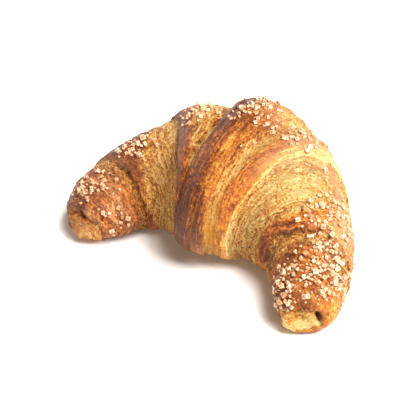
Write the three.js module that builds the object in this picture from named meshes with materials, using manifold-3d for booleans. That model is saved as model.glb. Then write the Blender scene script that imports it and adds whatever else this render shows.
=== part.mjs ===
// A sugared croissant: one roll of laminated dough bent into a crescent, baked brown.
// The dough is a long triangle rolled up from its base, so its two cut edges climb round
// the roll from the horns to the tongue in the middle, and each turn ends in a step down.
// Coarse sugar is baked into the crust and is one body with it.
// Millimetres, +Z up. The horns point to -Y, the rounded back faces +Y, and the roll rests
// on Z = 0 with the middle of its footprint at the origin.
import * as THREE from 'three';
import { mergeVertices } from 'three/addons/utils/BufferGeometryUtils.js';
import Module from 'manifold-3d';

// The roll, station by station along its middle line, from the left horn to the right horn
const STATIONS = [
  // mm from the middle, degrees that the line has turned to -Y, half width in mm, height in mm
  [-96, -63, 13.5, 21.5],
  [-76, -68, 20.5, 32],
  [-50, -47, 26.5, 44.5],
  [-25, -16, 40, 58.5],
  [0, -7, 45.5, 67.5],
  [25, 12, 36.5, 61],
  [50, 45, 26, 47.5],
  [76, 61, 17.5, 34.5],
  [96, 62, 13.5, 25],
];
const HALF_LENGTH = 96; // mm along the middle line, from the middle to the end of a horn
const HORN_ROUNDING = 13; // mm of each horn that is rounded off to its end
const END_SQUARENESS = 0.65; // 1 rounds a horn's end off like a ball, less makes it blunter
const RIGHT_SHORTER = 3; // mm that the right horn is shorter than the left
const SHORTER_FROM = 70; // mm from the middle, where it starts to be
const RELIEF_FULL_FROM = 0.4; // share of a horn's girth below which its relief fades out
const WIDEST_AT = 0.46; // share of the height at which the roll is widest
const PRESSED_FLAT = 2; // mm that the underside is pressed in by the baking tray
const TOP_SQUARENESS = 0.95; // 1 is an ellipse, less is boxier
const SIDE_SQUARENESS = 0.92;
const BELLY_SQUARENESS = 0.85;
const MIDDLE_X = -1.2; // mm from the origin to the middle of the roll's middle line
const MIDDLE_Y = 7.28;

// The cut edges. Each runs on from turn to turn: degrees rolled up from the tail of the
// tongue, and how far from the middle the edge then lies
const RIGHT_EDGE = [
  [0, 12.5], [60, 12.5], [98, 9], [150, 11.5], [360, 20], [410, 22.5], [440, 26.8], [460, 28.3],
  [500, 29], [540, 33], [720, 53], [790, 60], [870, 60.5], [1080, 87], [1134, 92], [1160, 96],
  [1178, 99.5], [1212, 100.6], [1264, 101], [1338, 99.5], [1440, 99], [1800, 112],
];
const LEFT_EDGE = [
  [0, 12.5], [60, 12.4], [98, 10.8], [150, 11.5], [360, 16], [434, 18.2], [460, 22],
  [486, 29.5], [516, 34], [720, 54], [782, 59], [870, 65], [1080, 84], [1145, 86.5], [1164, 89],
  [1188, 91.5], [1204, 94], [1240, 99], [1440, 103], [1800, 112],
];
const TURNS_OF_DOUGH = 5;
const TAIL_ANGLE = -62; // degrees round the roll, 0 is the bay's side and 90 the top
const TAIL_ROUNDING = 50; // degrees over which the tongue widens from its rounded tail
const TAIL_SWING = 15; // mm that the tail lies to the left of the middle
const TAIL_SWING_OVER = 195; // degrees from the tail back to the middle
const RAGGED_EDGE = [[0.45, 0.1], [0.3, 0.23], [0.2, 0.51]]; // mm, waves per degree

// How much each turn of dough stands up from the one below it
const STEP_AT_MIDDLE = 3.6; // mm
const STEP_AT_HORN = 1.4; // mm
const BELLY_STEP = 0.4; // share of a step that is left low on the roll's sides
const BELLY_FROM = 0.45; // share of the way round from top to underside at which it fades
const BELLY_FADE = 0.25; // share of that way over which it fades
const STEP_WIDTH = 2.2; // mm over which a turn drops to the next
const LIP_ROUNDING = 0.9; // mm taken off a turn's edge
const LIP_WIDTH = 1.8; // mm
const RIDGE_AT = 0.75; // share of a turn's band at which the crust reaches its full height
const TONGUE_CROWN = 0.9; // mm that the tongue bulges along its middle

// Oven spring: places where the crust swells out
const SWELLS = [
  // mm along, degrees round, mm long, degrees wide, mm high
  [-27, 125, 9, 45, 2.6],
  [-12, -28, 11, 28, 2.4],
  [24, 140, 9, 40, 1.4],
  [99, -35, 8, 55, 3.3],
  [98, 185, 8, 40, 3.0],
];
// Folds and pits near the horns' ends, given like the swells
const FOLDS = [
  [99.5, 165, 1.6, 30, -3.6],
  [-93, 55, 1.3, 18, -2.2],
  [71, 56, 2.2, 12, -1.0],
  [65.5, 78, 1.8, 12, -1.0],
];
// Uneven dough: waves per mm along, waves round, phase, mm high
const WAVES = [
  [0.055, 1, 0.3, 0.54],
  [0.083, 2, 1.7, 0.48],
  [-0.12, 2, 4.1, 0.36],
  [0.19, 3, 2.2, 0.27],
  [0.27, -4, 0.9, 0.21],
  [-0.33, 5, 5.0, 0.15],
];

// The mesh of the crust
const FACES_ROUND = 40;
const FACES_ALONG = 76;
const FINER_AT_EDGES = 3; // times as many rows at a cut edge as on the open crust
const FINER_WITHIN = 1.9; // mm from a cut edge

// Coarse sugar
const GRAINS = 96;
const LARGEST_GRAIN = 2.9; // mm across
const SMALLEST_GRAIN = 2.0;
const GRAIN_SUNK = 0.3; // share of a grain that is in the crust
const GRAIN_SPACING = 3.6; // mm between two grains' centres at least
const LOWEST_GRAIN = 6; // mm above the tray
const GRAIN_CORNERS = 0.56; // share of a grain's size from its middle to its corners
const GRAIN_FACES = 0.42; // share of a grain's size from its middle to its flat ends
const GRAIN_STRETCH = 0.25; // share by which the longest grain is longer than it is wide
const GRAIN_TILT = 0.7; // radians between the most tilted grains
const SUGAR_HEAPS = [
  // mm along, degrees round, mm long, degrees wide, share of the crust that is covered
  [57, 116, 9, 28, 0.8],
  [76, 128, 11, 34, 0.9],
  [85, 98, 9, 22, 0.7],
  [84, 48, 7, 20, 1.0],
  [88, 24, 6, 16, 0.9],
  [96, 38, 2.5, 14, 0.8],
  [24, 115, 7, 16, 0.9],
  [3, 106, 9, 15, 1.0],
  [-26, 106, 6, 14, 0.9],
  [-56, 97, 7, 15, 0.9],
  [-81, 97, 7, 26, 0.9],
  [-77, 6, 6, 16, 0.35],
  [-78, 32, 5, 9, 0.4],
];
const BARE_TIP = 98; // mm from the middle, past which a horn carries no sugar

const DEGREE = Math.PI / 180;
const HEADING = STATIONS.map(([place, heading]) => [place, heading]);
const HALF_WIDTH = STATIONS.map(([place, , halfWidth]) => [place, halfWidth]);
const HEIGHT = STATIONS.map(([place, , , height]) => [place, height]);
const LAST_STEP_ROUND = HALF_LENGTH - HORN_ROUNDING;
const CRUST_REACH = LAST_STEP_ROUND + (HORN_ROUNDING * Math.PI) / 2;

function clamp(value, low = 0, high = 1) {
  return Math.min(Math.max(value, low), high);
}

function smooth(value) {
  const t = clamp(value);
  return t * t * (3 - 2 * t);
}

function quarterRound(value) {
  const t = clamp(value);
  return Math.sqrt(1 - (1 - t) * (1 - t));
}

// A smooth curve through points that are given as [place, value]
function ease(x, points) {
  const last = points.length - 1;
  const at = clamp(x, points[0][0], points[last][0]);
  let i = 0;
  while (i < last - 1 && at >= points[i + 1][0]) i += 1;
  const slope = (k) => {
    const before = points[Math.max(k - 1, 0)];
    const after = points[Math.min(k + 1, last)];
    return (after[1] - before[1]) / (after[0] - before[0]);
  };
  const [place, value] = points[i];
  const [nextPlace, nextValue] = points[i + 1];
  const span = nextPlace - place;
  const t = (at - place) / span;
  const bend = t * (1 - t) * (1 - t) * slope(i) - t * t * (1 - t) * slope(i + 1);
  return value + smooth(t) * (nextValue - value) + bend * span;
}

// The middle line of the roll on the ground, walked from its middle to both horns
function middleLine() {
  const steps = 192;
  const stride = HALF_LENGTH / steps;
  const line = [];
  for (let i = -steps; i <= steps; i += 1) line.push({ x: 0, y: 0, heading: 0 });
  line.forEach((point, i) => {
    point.heading = ease((i - steps) * stride, HEADING) * DEGREE;
  });
  for (const way of [1, -1]) {
    for (let i = 1; i <= steps; i += 1) {
      const from = line[steps + way * (i - 1)];
      const to = line[steps + way * i];
      to.x = from.x + ((way * stride) / 2) * (Math.cos(from.heading) + Math.cos(to.heading));
      to.y = from.y - ((way * stride) / 2) * (Math.sin(from.heading) + Math.sin(to.heading));
    }
  }
  return { line, steps, stride };
}

const ROLL = middleLine();

function pointOnMiddleLine(along) {
  const at = clamp(along / ROLL.stride + ROLL.steps, 0, 2 * ROLL.steps - 1e-9);
  const i = Math.floor(at);
  const t = at - i;
  const a = ROLL.line[i];
  const b = ROLL.line[i + 1];
  return {
    x: a.x + (b.x - a.x) * t,
    y: a.y + (b.y - a.y) * t,
    heading: a.heading + (b.heading - a.heading) * t,
  };
}

// Degrees rolled up from the tail, for an angle round the roll
function degreesFromTail(angle) {
  const turned = (angle / DEGREE - TAIL_ANGLE) % 360;
  return turned < 0 ? turned + 360 : turned;
}

function tongueMiddle(turned) {
  return -TAIL_SWING * clamp(1 - turned / TAIL_SWING_OVER) ** 2;
}

// Where the cut edge of a turn crosses, in mm along the roll; side is 1 right and -1 left
function cutEdge(side, turn, turned) {
  const unrolled = turned + 360 * turn;
  let reach = ease(unrolled, side > 0 ? RIGHT_EDGE : LEFT_EDGE);
  for (const [size, rate] of RAGGED_EDGE) {
    reach += size * Math.sin(rate * unrolled + 9 * side * size);
  }
  if (turn > 0) return side * reach;
  return tongueMiddle(turned) + side * reach * quarterRound(turned / TAIL_ROUNDING);
}

// The turn of dough that shows at a place, with the two cut edges that bound its band
function turnAt(along, turned) {
  const middle = tongueMiddle(turned);
  const side = along >= middle ? 1 : -1;
  const away = side * along;
  let inner = side * middle;
  for (let turn = 0; turn < TURNS_OF_DOUGH; turn += 1) {
    const outer = side * cutEdge(side, turn, turned);
    if (away <= outer) return { turn, away, inner, outer };
    inner = Math.max(inner, outer);
  }
  return { turn: TURNS_OF_DOUGH, away, inner, outer: inner + 25 };
}

// Height of the layered crust over the plain roll
function layers(along, turned) {
  const { turn, away, inner, outer } = turnAt(along, turned);
  const fullStep = STEP_AT_MIDDLE + (STEP_AT_HORN - STEP_AT_MIDDLE) * clamp(inner / HALF_LENGTH);
  const low = Math.abs(((turned + TAIL_ANGLE + 90) % 360) - 180) / 180;
  const step = fullStep * (1 - (1 - BELLY_STEP) * smooth((low - BELLY_FROM) / BELLY_FADE));
  const across = clamp((away - inner) / Math.max(outer - inner, 0.01));
  const foot = smooth((away - inner) / STEP_WIDTH);
  const band = -LIP_ROUNDING * (1 - foot) - step * (1 - smooth(across / RIDGE_AT)) * foot;
  const crown = TONGUE_CROWN * (1 - clamp(away / outer, -1, 1) ** 2);
  const lip = LIP_ROUNDING * (1 - quarterRound((outer - away) / LIP_WIDTH));
  if (turn === 0) return crown - lip;
  if (turn > 1) return band - lip;
  return crown + (band - crown) * quarterRound(turned / TAIL_ROUNDING) - lip;
}

function bump(along, degrees, [atAlong, atDegrees, length, spread, height]) {
  const round = ((degrees - atDegrees + 540) % 360) - 180;
  return height * Math.exp(-(((along - atAlong) / length) ** 2) - (round / spread) ** 2);
}

function unevenness(along, angle) {
  let height = 0;
  for (const [perMm, round, phase, size] of WAVES) {
    height += size * Math.sin(perMm * along + round * angle + phase);
  }
  for (const place of [...SWELLS, ...FOLDS]) height += bump(along, angle / DEGREE, place);
  return height;
}

// A point of the crust, for a distance along the roll and an angle round it
function crustPoint(along, angle) {
  const overEnd = clamp((Math.abs(along) - LAST_STEP_ROUND) / HORN_ROUNDING, 0, Math.PI / 2);
  const reach = Math.min(Math.abs(along), LAST_STEP_ROUND) + HORN_ROUNDING * Math.sin(overEnd);
  const place = Math.sign(along) * reach;
  const nearRightEnd = smooth((place - SHORTER_FROM) / (HALF_LENGTH - SHORTER_FROM));
  const station = place - RIGHT_SHORTER * nearRightEnd;
  const girth = Math.max(Math.cos(overEnd), 0) ** END_SQUARENESS;
  const halfWidth = ease(station, HALF_WIDTH) * girth;
  const height = ease(station, HEIGHT);
  const waist = height * WIDEST_AT;
  const cos = Math.cos(angle);
  const sin = Math.sin(angle);
  const isTop = sin > 0;
  const reachUp = isTop ? (height - waist) * girth : (waist + PRESSED_FLAT) * girth;
  const squareness = isTop ? TOP_SQUARENESS : BELLY_SQUARENESS;

  const turned = degreesFromTail(angle);
  const fade = Math.min(1, girth / RELIEF_FULL_FROM);
  const relief = (layers(along, turned) + unevenness(along, angle)) * fade;
  const outX = cos / Math.max(halfWidth, 1);
  const outZ = sin / Math.max(reachUp, 1);
  const lift = (relief * Math.sqrt(girth)) / (Math.hypot(outX, outZ) + 1e-9);

  const sideways = halfWidth * Math.sign(cos) * Math.abs(cos) ** SIDE_SQUARENESS + outX * lift;
  const up = waist + reachUp * Math.sign(sin) * Math.abs(sin) ** squareness + outZ * lift;
  const endways = relief * Math.sign(along) * Math.sqrt(1 - girth * girth);
  const middle = pointOnMiddleLine(station);
  const cosH = Math.cos(middle.heading);
  const sinH = Math.sin(middle.heading);
  return new THREE.Vector3(
    MIDDLE_X + middle.x - sinH * sideways + cosH * endways,
    MIDDLE_Y + middle.y - cosH * sideways - sinH * endways,
    Math.max(up, 0),
  );
}

// Places along the roll for one row of points, gathered at the cut edges
function placesAlong(turned) {
  const samples = 1600;
  const stride = (2 * CRUST_REACH) / samples;
  const total = [0];
  for (let i = 0; i < samples; i += 1) {
    const along = -CRUST_REACH + (i + 0.5) * stride;
    let weight = 1;
    for (const side of [1, -1]) {
      for (let turn = 0; turn < TURNS_OF_DOUGH; turn += 1) {
        const shows = turn > 0 ? 1 : quarterRound(turned / TAIL_ROUNDING);
        const off = (along - cutEdge(side, turn, turned)) / FINER_WITHIN;
        weight += shows * FINER_AT_EDGES * Math.exp(-off * off);
      }
    }
    total.push(total[i] + weight);
  }
  const places = [];
  let i = 0;
  for (let row = 0; row <= FACES_ALONG; row += 1) {
    const wanted = (total[samples] * row) / FACES_ALONG;
    while (i < samples - 1 && total[i + 1] < wanted) i += 1;
    const t = clamp((wanted - total[i]) / (total[i + 1] - total[i]));
    places.push(-CRUST_REACH + (i + t) * stride);
  }
  return places;
}

function shared(geometry) {
  geometry.deleteAttribute('normal');
  geometry.deleteAttribute('uv');
  return mergeVertices(geometry, 1e-4);
}

// The crust: a sphere's grid of faces, with its poles at the ends of the horns
function crustGeometry() {
  const geometry = new THREE.SphereGeometry(1, FACES_ROUND, FACES_ALONG);
  const points = geometry.getAttribute('position');
  for (let column = 0; column <= FACES_ROUND; column += 1) {
    const round = ((column % FACES_ROUND) / FACES_ROUND) * 360;
    const places = placesAlong(round);
    for (let row = 0; row <= FACES_ALONG; row += 1) {
      const point = crustPoint(places[row], (TAIL_ANGLE + round) * DEGREE);
      points.setXYZ(row * (FACES_ROUND + 1) + column, point.x, point.y, point.z);
    }
  }
  return shared(geometry);
}

// One grain of coarse sugar: an eight-sided block with blunt corners
function grainGeometry() {
  const geometry = new THREE.SphereGeometry(1, 8, 3, Math.PI / 8);
  const points = geometry.getAttribute('position');
  for (let i = 0; i < points.count; i += 1) {
    const isEnd = Math.abs(points.getY(i)) > 0.9;
    const widen = isEnd ? 0 : GRAIN_CORNERS / Math.sin(Math.PI / 3);
    const end = Math.sign(points.getY(i)) * (isEnd ? 0.5 : GRAIN_FACES);
    points.setXYZ(i, points.getX(i) * widen, end, points.getZ(i) * widen);
  }
  return shared(geometry);
}

// Share of the crust that sugar covers at a place
function sugarCover(along, degrees) {
  if (Math.abs(along) > BARE_TIP) return 0;
  let cover = 0;
  for (const heap of SUGAR_HEAPS) cover += bump(along, degrees, heap);
  return Math.min(cover, 1);
}

// Even, unrepeating shares between 0 and 1: the number's digits in a base, mirrored
function evenShare(n, base) {
  let share = 0;
  let digit = 1 / base;
  for (let rest = n; rest > 0; rest = Math.floor(rest / base)) {
    share += (rest % base) * digit;
    digit /= base;
  }
  return share;
}

function grainPlaces() {
  const places = [];
  for (let n = 1; places.length < GRAINS; n += 1) {
    const along = CRUST_REACH * (2 * evenShare(n, 2) - 1);
    const degrees = 360 * evenShare(n, 3) - 90;
    if (evenShare(n, 5) > sugarCover(along, degrees)) continue;
    const centre = crustPoint(along, degrees * DEGREE);
    if (centre.z < LOWEST_GRAIN) continue;
    if (places.some((place) => place.centre.distanceTo(centre) < GRAIN_SPACING)) continue;
    places.push({ n, along, angle: degrees * DEGREE, centre });
  }
  return places;
}

// The way out of the crust at a place
function wayOut(along, angle) {
  const reach = 0.8;
  const ahead = crustPoint(along + reach, angle).sub(crustPoint(along - reach, angle));
  const round = crustPoint(along, angle + 0.03).sub(crustPoint(along, angle - 0.03));
  return ahead.cross(round).normalize();
}

function placedGrain(place, order) {
  const share = order / (GRAINS - 1);
  const size = LARGEST_GRAIN + (SMALLEST_GRAIN - LARGEST_GRAIN) * share;
  const long = 1 + GRAIN_STRETCH * evenShare(place.n, 7);
  const out = wayOut(place.along, place.angle);
  const stand = new THREE.Quaternion().setFromUnitVectors(new THREE.Vector3(0, 1, 0), out);
  const turn = new THREE.Euler(
    GRAIN_TILT * (evenShare(place.n, 11) - 0.5),
    2 * Math.PI * evenShare(place.n, 13),
    GRAIN_TILT * (evenShare(place.n, 17) - 0.5),
  );
  stand.multiply(new THREE.Quaternion().setFromEuler(turn));
  const centre = place.centre.clone().addScaledVector(out, size * (0.5 - GRAIN_SUNK));
  const matrix = new THREE.Matrix4();
  matrix.compose(centre, stand, new THREE.Vector3(size * long, size, size));
  return grainGeometry().applyMatrix4(matrix);
}

const wasm = await Module();
wasm.setup();

function solid(geometry) {
  const vertProperties = new Float32Array(geometry.getAttribute('position').array);
  const triVerts = new Uint32Array(geometry.getIndex().array);
  return new wasm.Manifold(new wasm.Mesh({ numProp: 3, vertProperties, triVerts }));
}

function geometryOf(body) {
  const { vertProperties, triVerts } = body.getMesh();
  const geometry = new THREE.BufferGeometry();
  geometry.setAttribute('position', new THREE.BufferAttribute(vertProperties, 3));
  geometry.setIndex(new THREE.BufferAttribute(triVerts, 1));
  geometry.computeVertexNormals();
  return geometry;
}

function makeCroissant() {
  let body = solid(crustGeometry());
  grainPlaces().forEach((place, order) => {
    body = body.add(solid(placedGrain(place, order)));
  });
  const crust = new THREE.MeshStandardMaterial({ color: 0xb8702c, roughness: 0.5, metalness: 0 });
  const mesh = new THREE.Mesh(geometryOf(body), crust);
  mesh.name = 'croissant';
  return mesh;
}

const bakery = new THREE.Group();
bakery.add(makeCroissant());

export default bakery;
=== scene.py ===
import math

import bmesh
import bpy
import numpy as np
from mathutils import Euler, Matrix, Vector


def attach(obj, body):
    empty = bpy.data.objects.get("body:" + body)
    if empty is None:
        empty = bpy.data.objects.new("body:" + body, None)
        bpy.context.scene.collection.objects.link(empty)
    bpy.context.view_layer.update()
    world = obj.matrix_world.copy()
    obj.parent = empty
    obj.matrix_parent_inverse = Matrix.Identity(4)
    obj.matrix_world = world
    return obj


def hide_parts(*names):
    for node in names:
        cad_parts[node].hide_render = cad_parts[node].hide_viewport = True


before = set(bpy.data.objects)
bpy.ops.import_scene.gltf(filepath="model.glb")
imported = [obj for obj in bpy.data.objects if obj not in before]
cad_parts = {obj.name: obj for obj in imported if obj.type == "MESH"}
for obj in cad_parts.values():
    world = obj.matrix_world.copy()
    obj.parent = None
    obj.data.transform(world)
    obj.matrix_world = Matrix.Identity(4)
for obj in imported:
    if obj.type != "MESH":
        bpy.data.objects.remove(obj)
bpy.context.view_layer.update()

# The baked crust
# One roll of laminated dough, rolled up from its wide end, bent into a crescent and baked under
# egg wash. Its cut edges climb round it in steps: golden and stringy where the dough stretched
# late in the oven, brown and glazed on the ridges. Lengths are in millimetres until the mesh.

STATIONS = np.array([  # mm from the middle, degrees turned to -Y, half width, height
    (-96, -63, 13.5, 21.5),
    (-76, -68, 20.5, 32),
    (-50, -47, 26.5, 44.5),
    (-25, -16, 40, 58.5),
    (0, -7, 45.5, 67.5),
    (25, 12, 36.5, 61),
    (50, 45, 26, 47.5),
    (76, 61, 17.5, 34.5),
    (96, 62, 13.5, 25),
])
HEADING, HALF_WIDTH, HEIGHT = STATIONS[:, [0, 1]], STATIONS[:, [0, 2]], STATIONS[:, [0, 3]]
HALF_LENGTH = 96
HORN_ROUNDING = 13
END_SQUARENESS = 0.65
RIGHT_SHORTER = 3
SHORTER_FROM = 70
WIDEST_AT = 0.46  # share of the height
PRESSED_FLAT = 2
TOP_SQUARENESS = 0.95
SIDE_SQUARENESS = 0.92
BELLY_SQUARENESS = 0.85
MIDDLE_X = -1.2
MIDDLE_Y = 7.28

# The cut edges: degrees rolled up from the tongue's tail, and mm from the roll's middle
RIGHT_EDGE = [
    (0, 12.5), (60, 12.5), (98, 9), (150, 11.5), (360, 20), (410, 22.5), (440, 26.8), (460, 28.3),
    (500, 29), (540, 33), (720, 53), (790, 60), (870, 60.5), (1080, 87), (1134, 92), (1160, 96),
    (1178, 99.5), (1212, 100.6), (1264, 101), (1338, 99.5), (1440, 99), (1800, 112),
]
LEFT_EDGE = [
    (0, 12.5), (60, 12.4), (98, 10.8), (150, 11.5), (360, 16), (434, 18.2), (460, 22),
    (486, 29.5), (516, 34), (720, 54), (782, 59), (870, 65), (1080, 84), (1145, 86.5), (1164, 89),
    (1188, 91.5), (1204, 94), (1240, 99), (1440, 103), (1800, 112),
]
TURNS_OF_DOUGH = 5
LAST_BAND = 25  # mm, where no edge follows
TAIL_ANGLE = -62  # degrees round the roll: 0 is the bay's side, 90 the top, 180 the back
TAIL_ROUNDING = 50
TAIL_SWING = 15
TAIL_SWING_OVER = 195
RAGGED_EDGE = [(0.45, 0.10), (0.30, 0.23), (0.20, 0.51)]  # mm, waves per degree
RAGGED_APART = 9  # keeps the waves of the two sides out of step

STEP_AT_MIDDLE = 3.6
STEP_AT_HORN = 1.4
BELLY_STEP = 0.4  # share of a step that is left low on the roll's sides
BELLY_FROM = 0.45
BELLY_FADE = 0.25
STEP_WIDTH = 1.1
LIP_ROUNDING = 0.9
LIP_WIDTH = 1.8
RIDGE_AT = 0.75  # share of a turn's band
TONGUE_CROWN = 0.9
UNDERCUT = 1.3  # mm that a turn's edge stands out over the one below, on the left
RIGHT_UNDERCUT = 0.4  # share of it, on the right

SWELLS = [  # mm along, degrees round, mm long, degrees wide, mm high
    (-27, 125, 9, 45, 2.6),
    (-12, -28, 11, 28, 2.4),
    (24, 140, 9, 40, 1.4),
    (99, -35, 8, 55, 3.3),
    (98, 185, 8, 40, 3.0),
]
FOLDS = [  # the same for folds and pits in the horns
    (99.8, 160, 0.95, 28, -3.8),
    (-93, 55, 1.0, 18, -2.0),
    (71, 56, 2.2, 12, -1.0),
    (65.5, 78, 1.8, 12, -1.0),
]
WAVES = [  # waves per mm along, waves round, phase, mm high
    (0.055, 1, 0.3, 0.54),
    (0.083, 2, 1.7, 0.48),
    (-0.12, 2, 4.1, 0.36),
    (0.19, 3, 2.2, 0.27),
    (0.27, -4, 0.9, 0.21),
    (-0.33, 5, 5.0, 0.15),
]

STRINGS = 0.42  # mm that the stretched dough's strings stand up
BROAD_STRINGS = 0.5  # share of that
WRINKLES = 0.55  # mm, on the horns
BLISTERS = 0.26  # mm, under the glaze
SMALL_BLISTERS = 0.7  # share of that
STRING_PATCH, BROAD_STRING_PATCH = (1.3, 22, 5), (2.6, 45, 6)  # mm long, degrees wide, seed
WRINKLE_PATCH = (2.6, 50, 7)
BLISTER_PATCH, SMALL_BLISTER_PATCH = (2.4, 2.6, 8), (1.2, 1.3, 9)  # mm long, mm wide, seed
AROUND_TO_MM = 0.5  # a degree round the roll is about half a millimetre
FLATTER_WHERE_BROWN, FLATTER_AT_TIP = 0.8, 0.5
RELIEF_GROWTH = 2.5  # times the girth: relief is full where the horn's end is 0.4 of its girth
HORN_FROM, HORN_OVER = 62, 14  # mm from the middle
TIP_FROM, TIP_OVER = 92, 7

# How each band of dough browned, from the tongue to the nub at the horn's end: how brown it is
# where it stretched, how brown its ridge is, and where the ridge starts, given like the edges
RIGHT_PALE = [0.0, 0.32, 0.30, 0.48, 0.19, 0.19]
RIGHT_BROWN = [0.0, 0.60, 0.58, 0.68, 0.24, 0.24]
RIGHT_RIDGE = [
    (360, 11), (437, 12.4), (461, 12.6), (479, 15.2), (496, 16.6), (514, 18.8), (560, 22),
    (720, 42), (797, 55), (863, 54), (900, 50), (1080, 66), (1150, 70), (1230, 68), (1440, 97),
    (1800, 112),
]
LEFT_PALE = [0.0, 0.44, 0.42, 0.58, 0.40, 0.40]
LEFT_BROWN = [0.0, 0.84, 0.80, 0.74, 0.47, 0.47]
LEFT_RIDGE = [
    (360, 14), (468, 16.4), (478, 18.5), (490, 21.2), (503, 24.1), (520, 28.3), (600, 33),
    (720, 44), (785, 56), (852, 57.5), (872, 53), (894, 47.5), (960, 50), (1080, 62), (1230, 69),
    (1440, 97), (1800, 112),
]
LAYER_LINES = (1.6, 2.9, 4.2)  # mm from the second turn's edge, where its layers of dough show
LAYER_WIDTH = 0.4
LAYERS_ABOVE, LAYERS_OVER = 50, 40  # degrees round
EDGE_WIDTH = 1.0  # mm of rim along a cut edge: pale dough with a painted highlight, burnt mauve with painted sheen
RIDGE_SOFTNESS = 4  # mm over which pale dough turns brown
RIDGE_RAGGEDNESS = 1.3
CURTAIN_TOP, CURTAIN_OVER = 5, 7  # degrees round, where torn strings hang over the second ridge
CURTAIN_TORN, CURTAIN_COVER = 8, 0.7
LEFT_FADE_TOP, LEFT_FADE_OVER, LEFT_FADE = 60, 30, 0.75  # the left part's ridge fades low down
LOW_FROM, LOW_OVER = 22, 50  # degrees up from the roll's sides
LOW_PALER_RIGHT, LOW_PALER_LEFT = 0.7, 0.2
TONGUE_BROWN = (0.96, 0.58)  # at its left edge and at its right edge
TONGUE_FADE = 20  # mm from one to the other
UNDERSIDE_BROWN = 0.62
UNDER_FROM, UNDER_OVER = 0.75, 0.2  # share of the way down the roll
MOTTLE_PATCHES = [(5, 18, 3), (1.6, 22, 4)]  # mm long, degrees wide, seed
MOTTLE, TONGUE_MOTTLE = 0.16, 0.8
# The tongue's left edge is burnt, with painted sheen of the glaze over it
LEFT_EDGE_BURNT_AND_SHEEN = 0.8
TAIL_SIDE_FROM = 0.7  # cosine of the angle round
MAUVE_BESIDE_TAIL = 0.3  # the painted mauve sheen and shade stops at the tail's right edge
CREVICE_SHADE_WIDTH = 1.2  # mm of painted shade at the foot of a step
CREVICE_SHADE_WEAK, CREVICE_SHADE_ON_SHADED_SIDE = 0.15, 0.6
SHADE_TOP, SHADE_BOTTOM, SHADE_OVER = 100, -30, 40  # degrees round, the side away from the light
FOLD_DEPTH = 2  # mm at which the painted shade in a fold is at its darkest
FOLD_SHADE_DARK, FOLD_SHADE_NARROW = 2.4, 1.5
NUB_STRINGS, TONGUE_STRINGS = 0.1, 0.35
BROWNING_AND_PAINTED_LIGHT_PLACES = [  # mm along, degrees round, mm long, degrees wide, how much browner or paler; painted shade and light among them
    # Painted shade, with browning, on the right horn's side toward the bay
    (88, 18, 11, 40, 0.22),
    (57, 42, 5, 40, 0.30),
    (63, 4, 5, 14, 0.22),
    (70, 66, 6, 22, 0.12),
    (-90, 95, 7, 34, 0.10),
    (-58, 108, 8, 24, 0.12),
    (-5, 98, 8, 14, 0.16),
    (-6, 50, 6, 16, 0.12),
    (2, 66, 4, 16, -0.16),
    # Painted highlight on the top of the second turn, on the right
    (42, 88, 14, 28, -0.28),
    (99, -70, 8, 50, -0.25),
    (98, 215, 7, 45, -0.20),
    (8, 88, 7, 14, 0.20),
    (15, 104, 7, 14, 0.10),
    (-1, 0, 6, 24, 0.08),
    # The next two are painted light on the low sides that face the bay
    (30, 0, 14, 26, -0.10),
    (-42, -8, 14, 30, -0.10),
    (93, 166, 7, 40, -0.32),
]
MAUVE_SHEEN_AND_SHADE_PLACES = [  # the same for mauve brown: painted sheen of the glaze and painted shade, facing away from the light
    (-5, -8, 10, 26, 0.5),
    (-94, 60, 5, 50, 0.3),
    (-98, 20, 3, 50, 0.25),
    (23, 86, 10, 30, 0.42),
    (90, 20, 8, 26, 0.5),
    (-33, 112, 3, 20, 0.5),
]
PINK_SHEEN_PLACES = [  # the same for pink places: painted sheen of the glaze, and a painted bounce of light near the tail
    (33, 125, 6, 22, 0.9),
    (46, 138, 11, 18, 0.9),
    (58, 138, 9, 16, 0.6),
    (27, 95, 5, 22, 0.7),
    (14, 112, 9, 16, 0.6),
    (24, 72, 3, 14, 0.5),
    (64, 120, 10, 20, 0.5),
    (-97, -5, 6, 40, 0.5),
    (-76, 60, 6, 50, 0.2),
    (-2, -24, 8, 16, 0.4),
]
GOLDEN_PLACES = [  # the same for the clear yellow strip beside the tail
    (8, -4, 5, 18, 1.0),
    (10, 34, 2.5, 22, 0.35),
]

LINE_POINTS = 385
PATCH_TABLE = 256
SAMPLES_ALONG = 1601
POINTS_ROUND = 200
POINTS_ALONG = 480
FINER_AT_EDGES = 3
FINER_WITHIN = 1.9

LAST_STEP_ROUND = HALF_LENGTH - HORN_ROUNDING
CRUST_REACH = LAST_STEP_ROUND + HORN_ROUNDING * math.pi / 2


def smooth(value):
    t = np.clip(value, 0, 1)
    return t * t * (3 - 2 * t)


def quarter_round(value):
    t = np.clip(value, 0, 1)
    return np.sqrt(1 - (1 - t) ** 2)


def ease(x, points):
    """A smooth curve through points that are given as (place, value)."""
    places, values = np.array(points, float).T
    after = np.append(np.arange(1, len(places)), len(places) - 1)
    before = np.append(0, np.arange(len(places) - 1))
    slope = (values[after] - values[before]) / (places[after] - places[before])
    x = np.clip(x, places[0], places[-1])
    i = np.clip(np.searchsorted(places, x, side="right") - 1, 0, len(places) - 2)
    span = places[i + 1] - places[i]
    t = (x - places[i]) / span
    bend = t * (1 - t) * ((1 - t) * slope[i] - t * slope[i + 1]) * span
    return values[i] + smooth(t) * (values[i + 1] - values[i]) + bend


def middle_line():
    """The roll's middle line on the ground: places along it, X, Y and heading."""
    walk = np.linspace(-HALF_LENGTH, HALF_LENGTH, LINE_POINTS)
    heading = np.radians(ease(walk, HEADING))
    stride = walk[1] - walk[0]
    x_steps = (np.cos(heading[1:]) + np.cos(heading[:-1])) / 2 * stride
    y_steps = -(np.sin(heading[1:]) + np.sin(heading[:-1])) / 2 * stride
    x, y = np.append(0, np.cumsum(x_steps)), np.append(0, np.cumsum(y_steps))
    middle = len(walk) // 2
    return walk, x - x[middle], y - y[middle], heading


LINE_AT, LINE_X, LINE_Y, LINE_HEADING = middle_line()


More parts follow.
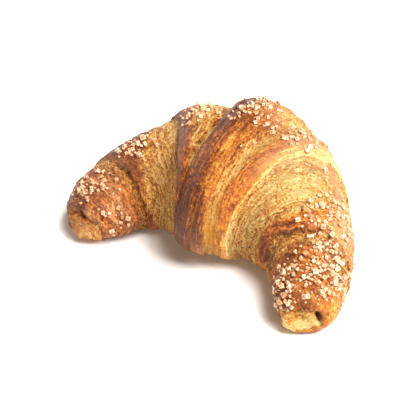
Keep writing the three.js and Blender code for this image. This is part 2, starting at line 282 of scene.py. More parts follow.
def patches(x, y, x_size, y_size, seed):
    """Soft random patches between -1 and 1, of the given size."""
    table = np.random.default_rng(seed).uniform(-1, 1, (PATCH_TABLE, PATCH_TABLE))
    gx, gy = x / x_size, y / y_size
    ix, iy = np.floor(gx).astype(int), np.floor(gy).astype(int)
    tx, ty = smooth(gx - ix), smooth(gy - iy)
    left, right = ix % PATCH_TABLE, (ix + 1) % PATCH_TABLE
    low, high = iy % PATCH_TABLE, (iy + 1) % PATCH_TABLE
    near = table[left, low] * (1 - tx) + table[right, low] * tx
    far = table[left, high] * (1 - tx) + table[right, high] * tx
    return near * (1 - ty) + far * ty


def tongue_middle(turned):
    return -TAIL_SWING * np.clip(1 - turned / TAIL_SWING_OVER, 0, 1) ** 2


def cut_edge(side, turn, turned):
    """Where a turn's cut edge crosses, in mm along the roll; side is 1 right and -1 left."""
    unrolled = turned + 360 * turn
    reach = ease(unrolled, RIGHT_EDGE if side > 0 else LEFT_EDGE)
    for size, rate in RAGGED_EDGE:
        reach = reach + size * np.sin(rate * unrolled + RAGGED_APART * side * size)
    if turn > 0:
        return side * reach
    return tongue_middle(turned) + side * reach * quarter_round(turned / TAIL_ROUNDING)


def turn_at(along, turned):
    """The turn of dough that shows at each place, and the cut edges that bound its band."""
    middle = tongue_middle(turned)
    side = np.where(along >= middle, 1, -1)
    away = side * along
    turn = np.full(along.shape, TURNS_OF_DOUGH)
    inner = side * middle
    outer = np.full(along.shape, np.nan)
    for k in range(TURNS_OF_DOUGH):
        edge = np.where(side > 0, cut_edge(1, k, turned), -cut_edge(-1, k, turned))
        hit = np.isnan(outer) & (away <= edge)
        turn = np.where(hit, k, turn)
        outer = np.where(hit, edge, outer)
        inner = np.where(np.isnan(outer), np.maximum(inner, edge), inner)
    outer = np.where(np.isnan(outer), inner + LAST_BAND, outer)
    return side, turn, away, inner, outer


def bump(along, degrees, at_along, at_degrees, length, spread, height):
    around = (degrees - at_degrees + 540) % 360 - 180
    return height * np.exp(-(((along - at_along) / length) ** 2) - (around / spread) ** 2)


def all_bumps(along, degrees, places):
    return sum(bump(along, degrees, *place) for place in places)


def crust(along, angle, fine=True):
    """Points of the crust in mm: how brown, stretched and folded it is, and its painted light and
    shade.
    """
    along, angle = np.broadcast_arrays(np.asarray(along, float), np.asarray(angle, float))
    degrees = np.degrees(angle)
    turned = (degrees - TAIL_ANGLE) % 360
    side, turn, away, inner, outer = turn_at(along, turned)
    opened = quarter_round(turned / TAIL_ROUNDING)
    from_inner, from_outer = away - inner, outer - away
    across = np.clip(from_inner / np.maximum(outer - inner, 0.01), 0, 1)
    unrolled = turned + 360 * turn
    strand = side * from_inner
    horn = smooth((np.abs(along) - HORN_FROM) / HORN_OVER)
    tip = smooth((np.abs(along) - TIP_FROM) / TIP_OVER)
    right, left = side > 0, side < 0
    beside_tongue = (turn == 1) & right
    from_bay = degrees % 360

    # How brown: a band starts stretched and pale and ends in a brown ridge
    pale = np.where(right, np.take(RIGHT_PALE, turn), np.take(LEFT_PALE, turn))
    fully = np.where(right, np.take(RIGHT_BROWN, turn), np.take(LEFT_BROWN, turn))
    ridge = np.where(right, ease(unrolled, RIGHT_RIDGE), ease(unrolled, LEFT_RIDGE))
    low = smooth((LOW_FROM - np.minimum(from_bay, (180 - degrees) % 360)) / LOW_OVER) * (1 - horn)
    low_paler = np.where(right, LOW_PALER_RIGHT, LOW_PALER_LEFT) * low
    mottle = sum(MOTTLE * patches(strand, unrolled, *patch) for patch in MOTTLE_PATCHES)
    browned = smooth(0.5 + (away - ridge) / RIDGE_SOFTNESS + RIDGE_RAGGEDNESS * mottle)
    curtain = smooth((CURTAIN_TOP - from_bay) / CURTAIN_OVER + CURTAIN_TORN * mottle) * beside_tongue
    browned = browned * (1 - CURTAIN_COVER * curtain)
    fading = smooth((LEFT_FADE_TOP - from_bay) / LEFT_FADE_OVER) * (turn == 2) * left
    browned = browned * (1 - LEFT_FADE * fading)
    brown = pale + (fully - pale) * browned * (1 - low_paler)
    left_share = smooth(0.5 - (along - tongue_middle(turned)) / TONGUE_FADE)
    tongue = TONGUE_BROWN[1] + (TONGUE_BROWN[0] - TONGUE_BROWN[1]) * left_share
    brown = np.where(turn == 0, tongue + TONGUE_MOTTLE * mottle, brown)
    brown = np.where((turn == 1) & (opened < 1), tongue + (brown - tongue) * opened, brown)
    # Places browner and paler; some are painted shade and painted light
    brown = brown + all_bumps(along, degrees, BROWNING_AND_PAINTED_LIGHT_PLACES)
    under = smooth((-np.sin(angle) - UNDER_FROM) / UNDER_OVER) * (1 - tip)
    brown = brown + (UNDERSIDE_BROWN - brown) * under

    # Rims, mauve, yellow and pink places, and the painted shade at the foot of each step
    # The rims carry a painted highlight; mauve places carry painted sheen and shade, pink ones
    # painted sheen
    edge = np.exp(-((from_outer / EDGE_WIDTH) ** 2))
    layers = sum(np.exp(-(((from_outer - off) / LAYER_WIDTH) ** 2)) for off in LAYER_LINES)
    # Pale cut edge and layer lines beside the tongue, with a painted highlight: only the side toward
    # the light has them
    rim = (edge + layers * smooth((from_bay - LAYERS_ABOVE) / LAYERS_OVER)) * beside_tongue
    # Mauve: burnt crust at the tongue's left edge, and in its places painted sheen of the glaze and
    # painted shade
    dusky = LEFT_EDGE_BURNT_AND_SHEEN * edge * (turn < 2) * left
    dusky = np.minimum(dusky + all_bumps(along, degrees, MAUVE_SHEEN_AND_SHADE_PLACES), 1)
    past_tail = beside_tongue & (np.cos(angle) > TAIL_SIDE_FROM)
    dusky = dusky * np.where(past_tail, MAUVE_BESIDE_TAIL, 1)
    golden = all_bumps(along, degrees, GOLDEN_PLACES) * beside_tongue
    # Pink places: painted sheen of the glaze, and painted bounce light near the tail
    rosy = np.minimum(all_bumps(along, degrees, PINK_SHEEN_PLACES), 1)
    shade = smooth((SHADE_TOP - from_bay) / SHADE_OVER)
    shade = shade * smooth((degrees - SHADE_BOTTOM) / SHADE_OVER)
    # Painted shade at the foot of each step, stronger on the side away from the light
    gap = np.exp(-((from_inner / CREVICE_SHADE_WIDTH) ** 2)) * np.where(turn == 1, opened, turn > 1)
    weak_crevice_shade = np.where(turn > 2, CREVICE_SHADE_WEAK + CREVICE_SHADE_ON_SHADED_SIDE * shade, CREVICE_SHADE_WEAK)
    foot = gap * np.where((turn > 2) | right, weak_crevice_shade, 1)

    # Relief: the steps between turns, then strings, wrinkles and blisters
    step = STEP_AT_MIDDLE + (STEP_AT_HORN - STEP_AT_MIDDLE) * np.clip(inner / HALF_LENGTH, 0, 1)
    down = np.abs((degrees + 90) % 360 - 180) / 180
    step = step * (1 - (1 - BELLY_STEP) * smooth((down - BELLY_FROM) / BELLY_FADE))
    rise = smooth(from_inner / STEP_WIDTH)
    band = -LIP_ROUNDING * (1 - rise) - step * (1 - smooth(across / RIDGE_AT)) * rise
    crown = TONGUE_CROWN * (1 - np.clip(away / outer, -1, 1) ** 2)
    relief = np.where(turn == 0, crown, np.where(turn > 1, band, crown + (band - crown) * opened))
    relief = relief - LIP_ROUNDING * (1 - quarter_round(from_outer / LIP_WIDTH))
    for per_mm, waves_round, phase, size in WAVES:
        relief = relief + size * np.sin(per_mm * along + waves_round * angle + phase)
    for swell in SWELLS + FOLDS:
        relief = relief + bump(along, degrees, *swell)
    # Painted shade in the folds and pits
    fold_shade = np.minimum(-all_bumps(along, degrees, FOLDS) / FOLD_DEPTH, 1)
    if fine:
        stringy = (1 - FLATTER_WHERE_BROWN * browned) * (1 - FLATTER_AT_TIP * tip)
        around = degrees * AROUND_TO_MM
        relief = relief + STRINGS * stringy * patches(strand, unrolled, *STRING_PATCH)
        relief = relief + BROAD_STRINGS * STRINGS * patches(strand, unrolled, *BROAD_STRING_PATCH)
        relief = relief + WRINKLES * horn * (1 - tip) * patches(strand, unrolled, *WRINKLE_PATCH)
        relief = relief + BLISTERS * patches(along, around, *BLISTER_PATCH)
        relief = relief + SMALL_BLISTERS * BLISTERS * patches(along, around, *SMALL_BLISTER_PATCH)

    over_end = np.clip((np.abs(along) - LAST_STEP_ROUND) / HORN_ROUNDING, 0, np.pi / 2)
    reach = np.minimum(np.abs(along), LAST_STEP_ROUND) + HORN_ROUNDING * np.sin(over_end)
    place = np.sign(along) * reach
    near_right_end = smooth((place - SHORTER_FROM) / (HALF_LENGTH - SHORTER_FROM))
    station = place - RIGHT_SHORTER * near_right_end
    girth = np.maximum(np.cos(over_end), 0) ** END_SQUARENESS
    half_width = ease(station, HALF_WIDTH) * girth
    height = ease(station, HEIGHT)
    waist = height * WIDEST_AT
    cos, sin = np.cos(angle), np.sin(angle)
    reach_up = np.where(sin > 0, height - waist, waist + PRESSED_FLAT) * girth
    squareness = np.where(sin > 0, TOP_SQUARENESS, BELLY_SQUARENESS)

    relief = relief * np.minimum(1, girth * RELIEF_GROWTH)
    out_x, out_z = cos / np.maximum(half_width, 1), sin / np.maximum(reach_up, 1)
    lift = relief * np.sqrt(girth) / (np.hypot(out_x, out_z) + 1e-9)
    sideways = half_width * np.sign(cos) * np.abs(cos) ** SIDE_SQUARENESS + out_x * lift
    up = waist + reach_up * np.sign(sin) * np.abs(sin) ** squareness + out_z * lift
    endways = relief * np.sign(along) * np.sqrt(np.clip(1 - girth**2, 0, 1))
    undercut = UNDERCUT * np.where(right, RIGHT_UNDERCUT, 1)
    endways = endways - side * undercut * gap * rise * girth * step / STEP_AT_MIDDLE
    x = np.interp(station, LINE_AT, LINE_X)
    y = np.interp(station, LINE_AT, LINE_Y)
    heading = np.interp(station, LINE_AT, LINE_HEADING)
    points = np.stack([
        MIDDLE_X + x - np.sin(heading) * sideways + np.cos(heading) * endways,
        MIDDLE_Y + y - np.cos(heading) * sideways - np.sin(heading) * endways,
        np.maximum(up, 0),
    ], axis=-1)
    strings_here = np.select([turn > 3, turn > 0], [NUB_STRINGS, 1], TONGUE_STRINGS)
    looks = {
        "brown": brown, "rim": rim, "dusky": dusky, "golden": golden, "rosy": rosy,
        # painted shade at the feet of steps and in the folds
        "foot": np.maximum(foot, FOLD_SHADE_DARK * fold_shade**FOLD_SHADE_NARROW),
        "stringy": (1 - browned) * strings_here,
        "wrinkled": horn * (1 - tip) * (1 - under),
        "strand": strand, "unrolled": unrolled,
    }
    return points, looks


def places_along(turned):
    """For each angle round the roll, the places of its points, gathered at the cut edges."""
    samples = np.linspace(-CRUST_REACH, CRUST_REACH, SAMPLES_ALONG)
    weight = np.ones((len(turned), len(samples)))
    for side in (1, -1):
        for turn in range(TURNS_OF_DOUGH):
            shows = quarter_round(turned / TAIL_ROUNDING) if turn == 0 else np.ones(len(turned))
            off = (samples[None, :] - cut_edge(side, turn, turned)[:, None]) / FINER_WITHIN
            weight += FINER_AT_EDGES * shows[:, None] * np.exp(-(off**2))
    total = np.cumsum((weight[:, 1:] + weight[:, :-1]) / 2, axis=1)
    total = np.hstack([np.zeros((len(turned), 1)), total])
    shares = np.linspace(0, 1, POINTS_ALONG + 1)
    return np.array([np.interp(shares * row[-1], row, samples) for row in total])


def crust_mesh():
    """A sphere with its poles at the horns' ends, its points moved out to the crust."""
    bm = bmesh.new()
    bmesh.ops.create_uvsphere(bm, u_segments=POINTS_ROUND, v_segments=POINTS_ALONG, radius=1)
    unit = np.array([vert.co for vert in bm.verts])
    row = np.rint(np.arccos(np.clip(-unit[:, 2], -1, 1)) / np.pi * POINTS_ALONG).astype(int)
    column = np.rint(np.arctan2(unit[:, 1], unit[:, 0]) / (2 * np.pi) * POINTS_ROUND).astype(int)
    column = column % POINTS_ROUND
    degrees = np.arange(POINTS_ROUND) * 360 / POINTS_ROUND - 90
    places = places_along((degrees - TAIL_ANGLE) % 360)
    points, looks = crust(places[column, row], np.radians(degrees[column]))
    for vert, point in zip(bm.verts, points / 1000):
        vert.co = point
    bmesh.ops.recalc_face_normals(bm, faces=bm.faces)
    for face in bm.faces:
        face.smooth = True
    mesh = bpy.data.meshes.new("crust")
    bm.to_mesh(mesh)
    bm.free()
    for name, values in looks.items():
        layer = mesh.attributes.new(name, "FLOAT", "POINT")
        layer.data.foreach_set("value", values.astype(np.float32))
    return mesh


def add_node(tree, kind, inputs=(), **settings):
    """A shader node with its settings, and its inputs set or linked."""
    node = tree.nodes.new(kind)
    for name, value in settings.items():
        setattr(node, name, value)
    for name, value in dict(inputs).items():
        if isinstance(value, bpy.types.NodeSocket):
            tree.links.new(value, node.inputs[name])
        else:
            node.inputs[name].default_value = value
    return node


def surface_value(tree, name):
    return add_node(tree, "ShaderNodeAttribute", attribute_name=name).outputs["Fac"]


def maths(tree, operation, first, second=0.0, third=0.0, clamp=False):
    inputs = {0: first, 1: second, 2: third}
    return add_node(tree, "ShaderNodeMath", inputs, operation=operation, use_clamp=clamp).outputs[0]


def noise(tree, place, scale, detail, roughness, distortion=0.0):
    inputs = {"Vector": place, "Scale": scale, "Detail": detail, "Roughness": roughness}
    return add_node(tree, "ShaderNodeTexNoise", {**inputs, "Distortion": distortion}).outputs["Fac"]


def centred(tree, value, amount):
    """A noise's value spread evenly about nought."""
    return maths(tree, "MULTIPLY_ADD", value, amount, third=-amount / 2)


def product(tree, first, second, clamp=False):
    return maths(tree, "MULTIPLY", first, second, clamp=clamp)


def grown(tree, value, amount, least):
    """A value times an amount, added to the least that it can be."""
    return maths(tree, "MULTIPLY_ADD", value, amount, third=least)


def drawn_out(tree, strand, unrolled, pull):
    """Places on the crust for a pattern that is drawn out round the roll."""
    place = {"X": strand, "Y": product(tree, unrolled, pull)}
    return add_node(tree, "ShaderNodeCombineXYZ", place).outputs[0]


def blend(tree, share, colour, tint):
    """A colour with a share of a tint over it."""
    node = tree.nodes.new("ShaderNodeMix")
    node.data_type = "RGBA"
    sockets = {socket.name: socket for socket in node.inputs if socket.enabled}
    tree.links.new(share, sockets["Factor"])
    tree.links.new(colour, sockets["A"])
    sockets["B"].default_value = (*tint, 1)
    return next(socket for socket in node.outputs if socket.enabled)


def ramp(tree, share, stops):
    node = add_node(tree, "ShaderNodeValToRGB", {"Fac": share})
    while len(node.color_ramp.elements) < len(stops):
        node.color_ramp.elements.new(0.5)
    for element, (place, colour) in zip(node.color_ramp.elements, stops):
        element.position = place
        element.color = (*colour, 1)
    return node.outputs["Color"]


def new_material(name):
    material = bpy.data.materials.new(name)
    material.use_nodes = True
    return material, material.node_tree, material.node_tree.nodes["Principled BSDF"]


LIGHT_THREADS = (0.97, 0.73, 0.29)
PALE_DOUGH = (0.90, 0.51, 0.110)
YELLOW_DOUGH = (0.82, 0.340, 0.040)
GOLD_DOUGH = (0.66, 0.205, 0.028)
TAN_CRUST = (0.44, 0.125, 0.020)
BROWN_CRUST = (0.21, 0.046, 0.008)
DARK_CRUST = (0.090, 0.023, 0.008)
GOLDEN_STRIP = (1.0, 0.42, 0.020)
# Mauve brown: burnt crust, with painted sheen of the glaze and painted shade
MAUVE_SHEEN_AND_SHADE = (0.14, 0.062, 0.038)
# Painted shade for the feet of steps and for folds and pits
CREVICE_SHADE_BROWN = (0.12, 0.030, 0.007)
# Pink of the wrinkles' crests, and of the painted sheen of the glaze
WRINKLE_AND_SHEEN_PINK = (0.76, 0.37, 0.18)

# How strongly each pattern tells in the crust's browning, its tints and its relief
STRING_CONTRAST, SPONGE_CONTRAST, STREAK_CONTRAST = 2.1, 2.2, 1.0
BLOTCH_CONTRAST, MOTTLE_CONTRAST = 0.45, 0.7
GLAZED_CONTRAST = 0.55  # share of it where the dough didn't stretch
THREADS_PALER = (0.36, 0.10)  # what stretched dough adds, and what all crust has
THREADS_HIGHER = (0.35, 0.05)
WRINKLES_PALER, WRINKLES_PINKER, WRINKLES_HIGHER = 0.14, 0.42, 0.5
# How much paler the rim is: pale cut dough, with a painted highlight
RIM_PALER_AND_HIGHLIGHT = 0.50
# How strongly the painted shade darkens the feet of steps and the folds
CREVICE_SHADE_STRENGTH = 0.55
# The yellow strip and the painted pink sheen follow the strings
GOLDEN_IN_STRINGS, PINK_SHEEN_IN_STRINGS = (3.0, -0.8), (1.6, -0.2)
# The painted mauve sheen and shade is kept where the strings are low
MAUVE_LEAST = 0.4
SPONGE_HEIGHT, MOTTLE_HEIGHT = 0.7, 0.5
GLAZED_HEIGHT = 0.5
BUMP_DEPTH = 0.0034  # metres
FINE_LINE = [(0.475, (0, 0, 0)), (0.50, (1, 1, 1)), (0.525, (0, 0, 0))]
CREST = [(0.48, (0, 0, 0)), (0.62, (1, 1, 1))]
STRING_PULL, WRINKLE_PULL = 0.10, 0.05


def crust_material():
    material, tree, shader = new_material("baked_crust")
    brown, rim, foot = (surface_value(tree, name) for name in ("brown", "rim", "foot"))
    dusky, golden, rosy = (surface_value(tree, name) for name in ("dusky", "golden", "rosy"))
    stringy, wrinkled = (surface_value(tree, name) for name in ("stringy", "wrinkled"))
    strand, unrolled = (surface_value(tree, name) for name in ("strand", "unrolled"))
    object_place = add_node(tree, "ShaderNodeTexCoord").outputs["Object"]

    # Strings of stretched dough, with threads that curl and cross
    drawn = drawn_out(tree, strand, unrolled, STRING_PULL)
    strings = noise(tree, drawn, scale=1.0, detail=4, roughness=0.62, distortion=1.0)
    loops = noise(tree, drawn, scale=0.62, detail=2, roughness=0.5, distortion=2.5)
    fibres = noise(tree, drawn, scale=1.2, detail=2, roughness=0.5, distortion=1.6)
    threads = maths(tree, "ADD", ramp(tree, loops, FINE_LINE), ramp(tree, fibres, FINE_LINE))
    sponge = noise(tree, object_place, scale=950, detail=3, roughness=0.6, distortion=0.6)
    streaks = noise(tree, drawn, scale=0.35, detail=2, roughness=0.5, distortion=0.6)
    strings_told = centred(tree, strings, STRING_CONTRAST)
    texture = maths(tree, "ADD", strings_told, centred(tree, sponge, SPONGE_CONTRAST))
    texture = maths(tree, "ADD", texture, centred(tree, streaks, STREAK_CONTRAST))
    texture = product(tree, texture, grown(tree, stringy, 1 - GLAZED_CONTRAST, GLAZED_CONTRAST))

    # Wrinkles round the horns
    creased = drawn_out(tree, strand, unrolled, WRINKLE_PULL)
    creases = noise(tree, creased, scale=0.50, detail=3, roughness=0.55, distortion=0.8)
    crests = product(tree, ramp(tree, creases, CREST), wrinkled)

    # Blotches of browning and mottling under the glaze
    blotches = noise(tree, object_place, scale=110, detail=4, roughness=0.6)
    mottling = noise(tree, object_place, scale=330, detail=5, roughness=0.7)
    share = maths(tree, "ADD", brown, centred(tree, blotches, BLOTCH_CONTRAST))
    share = maths(tree, "ADD", share, centred(tree, mottling, MOTTLE_CONTRAST))
    share = maths(tree, "ADD", share, texture)
    thread_share = product(tree, threads, grown(tree, stringy, *THREADS_PALER))
    share = maths(tree, "SUBTRACT", share, thread_share)
    share = maths(tree, "SUBTRACT", share, product(tree, crests, WRINKLES_PALER))
    # Paler along the rim: pale cut dough with a painted highlight
    share = maths(tree, "SUBTRACT", share, product(tree, rim, RIM_PALER_AND_HIGHLIGHT), clamp=True)
    colour = ramp(tree, share, [
        (0.0, LIGHT_THREADS), (0.10, PALE_DOUGH), (0.24, YELLOW_DOUGH), (0.42, GOLD_DOUGH),
        (0.60, TAN_CRUST), (0.80, BROWN_CRUST), (1.0, DARK_CRUST),
    ])
    golden_share = product(tree, golden, grown(tree, strings, *GOLDEN_IN_STRINGS), clamp=True)
    colour = blend(tree, golden_share, colour, GOLDEN_STRIP)
    # Painted pink sheen of the glaze, with the pink crests of the wrinkles
    pink_sheen_share = product(tree, rosy, grown(tree, strings, *PINK_SHEEN_IN_STRINGS))
    wrinkle_and_sheen_pink_share = maths(tree, "MULTIPLY_ADD", crests, WRINKLES_PINKER, third=pink_sheen_share)
    colour = blend(tree, wrinkle_and_sheen_pink_share, colour, WRINKLE_AND_SHEEN_PINK)
    colour = blend(tree, product(tree, foot, CREVICE_SHADE_STRENGTH), colour, CREVICE_SHADE_BROWN)
    # Mauve painted sheen and shade, over burnt crust at the tongue's left edge
    mauve_share = product(tree, dusky, maths(tree, "ADD", strings, MAUVE_LEAST), clamp=True)
    colour = blend(tree, mauve_share, colour, MAUVE_SHEEN_AND_SHADE)
    tree.links.new(colour, shader.inputs["Base Color"])

    gloss = add_node(tree, "ShaderNodeMapRange", {"Value": brown, "To Min": 0.60, "To Max": 0.34})
    tree.links.new(gloss.outputs[0], shader.inputs["Roughness"])
    shader.inputs["Specular IOR Level"].default_value = 0.27
    shader.inputs["Subsurface Weight"].default_value = 0.05
    shader.inputs["Subsurface Radius"].default_value = (1.0, 0.5, 0.25)
    shader.inputs["Subsurface Scale"].default_value = 0.002
    rough = maths(tree, "ADD", strings, product(tree, sponge, SPONGE_HEIGHT))
    rough = maths(tree, "ADD", rough, product(tree, mottling, MOTTLE_HEIGHT))
    rough = maths(tree, "ADD", rough, product(tree, threads, grown(tree, stringy, *THREADS_HIGHER)))
    rough = product(tree, rough, grown(tree, stringy, 1 - GLAZED_HEIGHT, GLAZED_HEIGHT))
    rough = maths(tree, "ADD", rough, product(tree, crests, WRINKLES_HIGHER))
    bumps = {"Height": rough, "Strength": 1.0, "Distance": BUMP_DEPTH}
    relief = add_node(tree, "ShaderNodeBump", bumps)
    tree.links.new(relief.outputs[0], shader.inputs["Normal"])
    return material


crust_piece = bpy.data.objects.new("crust", crust_mesh())
bpy.context.scene.collection.objects.link(crust_piece)
crust_piece.data.materials.append(crust_material())
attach(crust_piece, "root")
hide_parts("croissant")

# The coarse sugar
# Crystals of pearl sugar, scattered on the egg wash before baking and half sunk in the crust.
# They are rough cubes, white to amber, thick on the horns and in heaps on the brown ridges.

SUGAR_HEAPS = [  # mm along, degrees round, mm long, degrees wide, amount
    (57, 116, 9, 28, 0.8),
    (76, 128, 11, 34, 0.9),
    (85, 98, 9, 22, 0.7),
    (84, 48, 7, 20, 1.0),
    (88, 24, 6, 16, 0.9),
    (96, 38, 2.5, 14, 0.8),
    (24, 115, 7, 16, 0.9),
    (3, 106, 9, 15, 1.0),
    (-26, 106, 6, 14, 0.9),
    (-56, 97, 7, 15, 0.9),
    (-81, 97, 7, 26, 0.9),
    (-77, 6, 6, 16, 0.35),
    (-78, 32, 5, 9, 0.4),
]
BARE_TIP = 98
LARGE_GRAINS = 96
LARGE_TRIED = 4000
LARGE_SIZES = (2.9, 2.0)  # mm, first to last
LARGE_SPACING = 3.6  # mm between centres
SMALL_GRAINS = 470
SMALL_TRIED = 30000
SMALL_SIZES = (2.3, 0.7)
SMALLER_OFTENER = 0.7
SMALL_SPACING = 1.7
LEFT_HORN_FROM, LEFT_HORN_SPARSER = -60, 0.35
LOWEST_GRAIN = 6
GRAIN_SUNK = 0.3
CLUMP_LEAST, CLUMP_MORE, CLUMP_PATCH = 0.75, 0.6, (6, 6, 24)
GRAIN_LEAN = 0.5
CORNER_PUSH = 0.12
GRAIN_LONG, GRAIN_WIDE, GRAIN_HIGH = (0.8, 1.15), (0.75, 1.0), 0.9
CORNER_WEAR = 0.4
EDGE_ANGLE = 0.5
BESIDE, ROUND_BESIDE = 0.8, 0.03  # mm and radians, for the slope of the crust at a place
PLACES_SEED, SHAPES_SEED = 23, 11
MM = 0.001


def sugar_cover(along, degrees):
    cover = np.minimum(all_bumps(along, degrees, SUGAR_HEAPS), 1)
    return np.where(np.abs(along) > BARE_TIP, 0, cover)


def even_share(n, base):
    """Even, unrepeating shares between 0 and 1: the number's digits in a base, mirrored."""
    rest, share, digit = n.copy(), np.zeros(len(n)), 1 / base
    while rest.any():
        share += rest % base * digit
        rest //= base
        digit /= base
    return share


def scattered(along, degrees, taken, spacing, wanted):
    """Adds places that keep their distance from those already taken, in the order given."""
    centres, _ = crust(along, np.radians(degrees))
    for place, angle, centre in zip(along, degrees, centres):
        if len(taken) == wanted:
            break
        if centre[2] < LOWEST_GRAIN:
            continue
        gaps = [math.dist(centre, other[2]) for other in taken]
        if not gaps or min(gaps) >= spacing:
            taken.append((place, math.radians(angle), centre))


def grain_places():
    """Where grains lie, the large ones first: place, angle and centre."""
    taken = []
    n = np.arange(1, LARGE_TRIED + 1)
    along = CRUST_REACH * (2 * even_share(n, 2) - 1)
    degrees = 360 * even_share(n, 3) - 90
    kept = even_share(n, 5) <= sugar_cover(along, degrees)
    scattered(along[kept], degrees[kept], taken, LARGE_SPACING, LARGE_GRAINS)
    rng = np.random.default_rng(PLACES_SEED)
    along = rng.uniform(-CRUST_REACH, CRUST_REACH, SMALL_TRIED)
    degrees = rng.uniform(-90, 270, SMALL_TRIED)
    clumps = CLUMP_LEAST + CLUMP_MORE * patches(along, degrees * AROUND_TO_MM, *CLUMP_PATCH)
    sparser = np.where(along < LEFT_HORN_FROM, LEFT_HORN_SPARSER, 1)
    kept = rng.uniform(0, 1, SMALL_TRIED) <= sugar_cover(along, degrees) * clumps * sparser
    scattered(along[kept], degrees[kept], taken, SMALL_SPACING, LARGE_GRAINS + SMALL_GRAINS)
    along, angles, centres = zip(*taken)
    return np.array(along), np.array(angles), np.array(centres)


def way_out(along, angle):
    """The way out of the plain crust at each place."""
    ahead, _ = crust(along + BESIDE, angle, fine=False)
    behind, _ = crust(along - BESIDE, angle, fine=False)
    above, _ = crust(along, angle + ROUND_BESIDE, fine=False)
    below, _ = crust(along, angle - ROUND_BESIDE, fine=False)
    out = np.cross(ahead - behind, above - below)
    return out / np.linalg.norm(out, axis=-1, keepdims=True)


def sugar_mesh():
    """Cubes with pushed corners and rounded edges, one for each grain."""
    along, angles, centres = grain_places()
    outs = way_out(along, angles)
    rng = np.random.default_rng(SHAPES_SEED)
    bm = bmesh.new()
    for order, (centre, out) in enumerate(zip(centres, outs)):
        if order < LARGE_GRAINS:
            first, last = LARGE_SIZES
            share = order / (LARGE_GRAINS - 1)
        else:
            first, last = SMALL_SIZES
            share = rng.uniform() ** SMALLER_OFTENER
        size = first + (last - first) * share
        out = Vector(out)
        stand = Vector((0, 0, 1)).rotation_difference(out).to_matrix().to_4x4()
        lean = rng.uniform((-GRAIN_LEAN, -GRAIN_LEAN, 0), (GRAIN_LEAN, GRAIN_LEAN, 6.28))
        turn = Euler(lean).to_matrix().to_4x4()
        long, wide = rng.uniform(*GRAIN_LONG), rng.uniform(*GRAIN_WIDE)
        stretch = Matrix.Diagonal((size * long, size * wide, size * GRAIN_HIGH, 1))
        place = Matrix.Translation(Vector(centre) + out * size * (0.5 - GRAIN_SUNK))
        cube = bmesh.ops.create_cube(bm, size=1.0, matrix=place @ stand @ turn @ stretch)
        for vert in cube["verts"]:
            vert.co += Vector(rng.uniform(-CORNER_PUSH, CORNER_PUSH, 3) * size)
    bmesh.ops.subdivide_edges(bm, edges=bm.edges[:], cuts=2, use_grid_fill=True)
    # Crystal edges keep the sugar's colour; painted crust seen through it darkens the middles
    crystal_edge = bm.verts.layers.float.new("edge")
    for vert in bm.verts:
        vert[crystal_edge] = max(edge.calc_face_angle(0) for edge in vert.link_edges) > EDGE_ANGLE
    all_ways = {"use_axis_x": True, "use_axis_y": True, "use_axis_z": True}
    for _ in range(2):
        bmesh.ops.smooth_vert(bm, verts=bm.verts, factor=CORNER_WEAR, **all_ways)
    bmesh.ops.scale(bm, vec=(MM, MM, MM), verts=bm.verts)
    bmesh.ops.recalc_face_normals(bm, faces=bm.faces)
    mesh = bpy.data.meshes.new("sugar")
    bm.to_mesh(mesh)
    bm.free()
    return mesh


CLEAR_SUGAR = (0.88, 0.70, 0.48)
PINK_SUGAR = (0.78, 0.53, 0.35)
AMBER_SUGAR = (0.64, 0.35, 0.18)
CRUST_SEEN_THROUGH_SUGAR = (0.42, 0.18, 0.075)  # painted: the crust seen through the middle of a clear crystal
SEEN_THROUGH_DEPTH = 1.7
SUGAR_BUMP = 0.0004  # metres


def sugar_material():
    material, tree, shader = new_material("pearl_sugar")
    grain = add_node(tree, "ShaderNodeNewGeometry").outputs["Random Per Island"]
    colour = ramp(tree, grain, [(0.0, CLEAR_SUGAR), (0.38, PINK_SUGAR), (1.0, AMBER_SUGAR)])
    object_place = add_node(tree, "ShaderNodeTexCoord").outputs["Object"]
    clouds = noise(tree, object_place, scale=900, detail=3, roughness=0.6)
    # The middle of each crystal is darkened by painted crust seen through it
    seen_through = maths(tree, "SUBTRACT", 1.0, surface_value(tree, "edge"))
    seen_through = product(tree, seen_through, product(tree, clouds, SEEN_THROUGH_DEPTH), clamp=True)
    colour = blend(tree, seen_through, colour, CRUST_SEEN_THROUGH_SUGAR)
    tree.links.new(colour, shader.inputs["Base Color"])
    shader.inputs["Roughness"].default_value = 0.20
    shader.inputs["IOR"].default_value = 1.5
    shader.inputs["Transmission Weight"].default_value = 0.15
    shader.inputs["Subsurface Weight"].default_value = 0.20
    shader.inputs["Subsurface Radius"].default_value = (1.0, 0.7, 0.45)
    shader.inputs["Subsurface Scale"].default_value = 0.0008
    bumps = {"Height": clouds, "Strength": 0.5, "Distance": SUGAR_BUMP}
    relief = add_node(tree, "ShaderNodeBump", bumps)
    tree.links.new(relief.outputs[0], shader.inputs["Normal"])
    return material


sugar_piece = bpy.data.objects.new("sugar", sugar_mesh())
bpy.context.scene.collection.objects.link(sugar_piece)
sugar_piece.data.materials.append(sugar_material())
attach(sugar_piece, "root")
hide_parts("croissant")

# The studio
# A white surface under soft light from the upper right, with weak fills from the front and the
# left, and a camera that looks down on the bay from beside the right horn. None of it is part
# of the croissant.

CAMERA_AZIMUTH = 35.0
CAMERA_ELEVATION = 41.2
CAMERA_DISTANCE = 0.559
CAMERA_AIM = (-0.0104, -0.0069, 0.0154)
CAMERA_LENS = 92.9
FLOOR_SIZE = 3.0
DULL_WHITE, WHITE = (0.93, 0.93, 0.93), (0.96, 0.96, 0.96)
LIGHTS_AIM = (0, 0, 0.03)
WARM_ROOM = (1.0, 0.75, 0.51, 1)
ROOM_LIGHT = 0.10


def floor_mesh():
    bm = bmesh.new()
    bmesh.ops.create_grid(bm, x_segments=1, y_segments=1, size=FLOOR_SIZE / 2)
    mesh = bpy.data.meshes.new("floor")
    bm.to_mesh(mesh)
    bm.free()
    return mesh


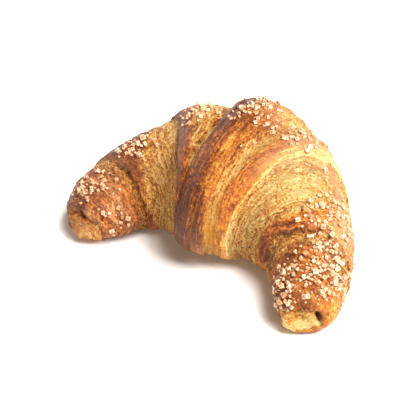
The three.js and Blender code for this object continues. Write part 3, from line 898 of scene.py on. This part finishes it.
floor_material, floor_tree, floor_shader = new_material("white_table")
floor_grain = add_node(floor_tree, "ShaderNodeTexNoise", {"Scale": 40.0, "Detail": 2})
floor_colour = ramp(floor_tree, floor_grain.outputs["Fac"], [(0.0, DULL_WHITE), (1.0, WHITE)])
floor_tree.links.new(floor_colour, floor_shader.inputs["Base Color"])
floor_shader.inputs["Roughness"].default_value = 0.9
floor = bpy.data.objects.new("floor", floor_mesh())
bpy.context.scene.collection.objects.link(floor)
floor.data.materials.append(floor_material)


def add_light(name, place, size, watts, colour):
    light = bpy.data.lights.new(name, "AREA")
    light.size, light.energy, light.color = size, watts, colour
    lamp = bpy.data.objects.new(name, light)
    lamp.location = place
    towards = Vector(LIGHTS_AIM) - lamp.location
    lamp.rotation_euler = towards.to_track_quat("-Z", "Y").to_euler()
    bpy.context.scene.collection.objects.link(lamp)


add_light("window_light", (0.52, 0.14, 0.92), 0.80, 40.0, (1.0, 0.99, 0.97))
add_light("front_fill", (0.15, -0.90, 0.28), 0.60, 3.4, (1.0, 0.87, 0.72))
add_light("side_fill", (-0.85, 0.20, 0.30), 0.60, 3.0, (1.0, 0.92, 0.82))

studio = bpy.data.worlds.new("studio")
studio.use_nodes = True
studio.node_tree.nodes["Background"].inputs["Color"].default_value = WARM_ROOM
studio.node_tree.nodes["Background"].inputs["Strength"].default_value = ROOM_LIGHT
bpy.context.scene.world = studio
bpy.context.scene.view_settings.view_transform = "Standard"

camera = bpy.data.objects.new("camera", bpy.data.cameras.new("camera"))
azimuth, elevation = math.radians(CAMERA_AZIMUTH), math.radians(CAMERA_ELEVATION)
back = Vector((
    math.sin(azimuth) * math.cos(elevation),
    -math.cos(azimuth) * math.cos(elevation),
    math.sin(elevation),
))
camera.location = Vector(CAMERA_AIM) + back * CAMERA_DISTANCE
camera.rotation_mode = "QUATERNION"
camera.rotation_quaternion = (-back).to_track_quat("-Z", "Y")
camera.data.sensor_width = 36
camera.data.lens = CAMERA_LENS
bpy.context.scene.collection.objects.link(camera)
bpy.context.scene.camera = camera
